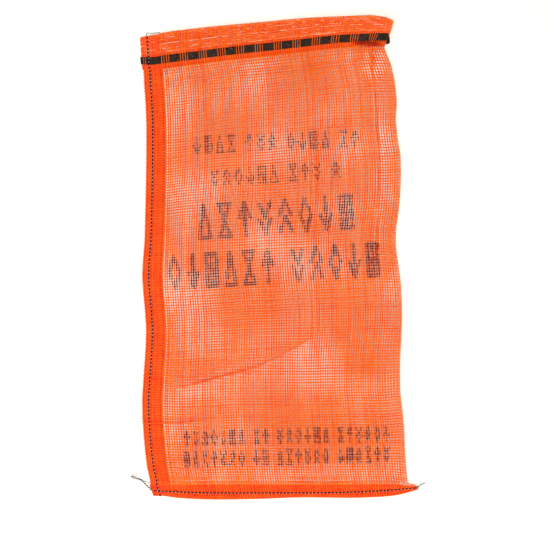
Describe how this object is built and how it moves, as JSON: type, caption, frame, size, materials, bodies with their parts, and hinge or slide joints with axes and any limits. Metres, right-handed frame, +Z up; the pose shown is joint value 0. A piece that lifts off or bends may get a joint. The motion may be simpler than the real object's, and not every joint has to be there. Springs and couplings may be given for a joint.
{
  "type": "mesh produce bag",
  "caption": "Flat-lying open-mesh produce bag, folded at one side, stitched along the other side and the bottom, with a draw tape woven through its mouth band.",
  "frame": {"origin": "middle of the bag's outline, on the surface it lies on", "axes": "+X across the bag, from the stitched side to the fold; +Y along the bag, from the bottom hem to the mouth; +Z up from the surface"},
  "size_m": [0.4661, 0.7651, 0.0123],
  "materials": {
    "mesh_cloth": "slightly glossy woven polyethylene tape yarn",
    "band_cloth": "dense woven polyethylene tape yarn",
    "black_tape": "satin flat polyethylene tape",
    "black_thread": "matt sewing thread",
    "white_thread": "matt sewing thread"
  },
  "bodies": {
    "bag": {"front_mesh_panel": "mesh_cloth", "back_mesh_panel": "mesh_cloth", "side_fold": "mesh_cloth", "side_band_front": "band_cloth", "side_band_back": "band_cloth", "mouth_band_front": "band_cloth", "mouth_band_back": "band_cloth", "mouth_band_fold": "band_cloth", "bottom_hem": "band_cloth", "side_needle_thread": "black_thread", "side_looper_thread": "white_thread", "bottom_needle_thread": "black_thread", "bottom_looper_thread": "white_thread", "corner_thread_tail": "white_thread", "hem_thread_tail": "black_thread", "mouth_thread_tail": "black_thread"},
    "tape": {"draw_tape": "black_tape"}
  },
  "joints": [
    {"name": "tape_pull", "type": "slide", "parent": "bag", "child": "tape", "axis": [0.9956, 0.0936, 0], "range_m": [0, 0.05]}
  ]
}
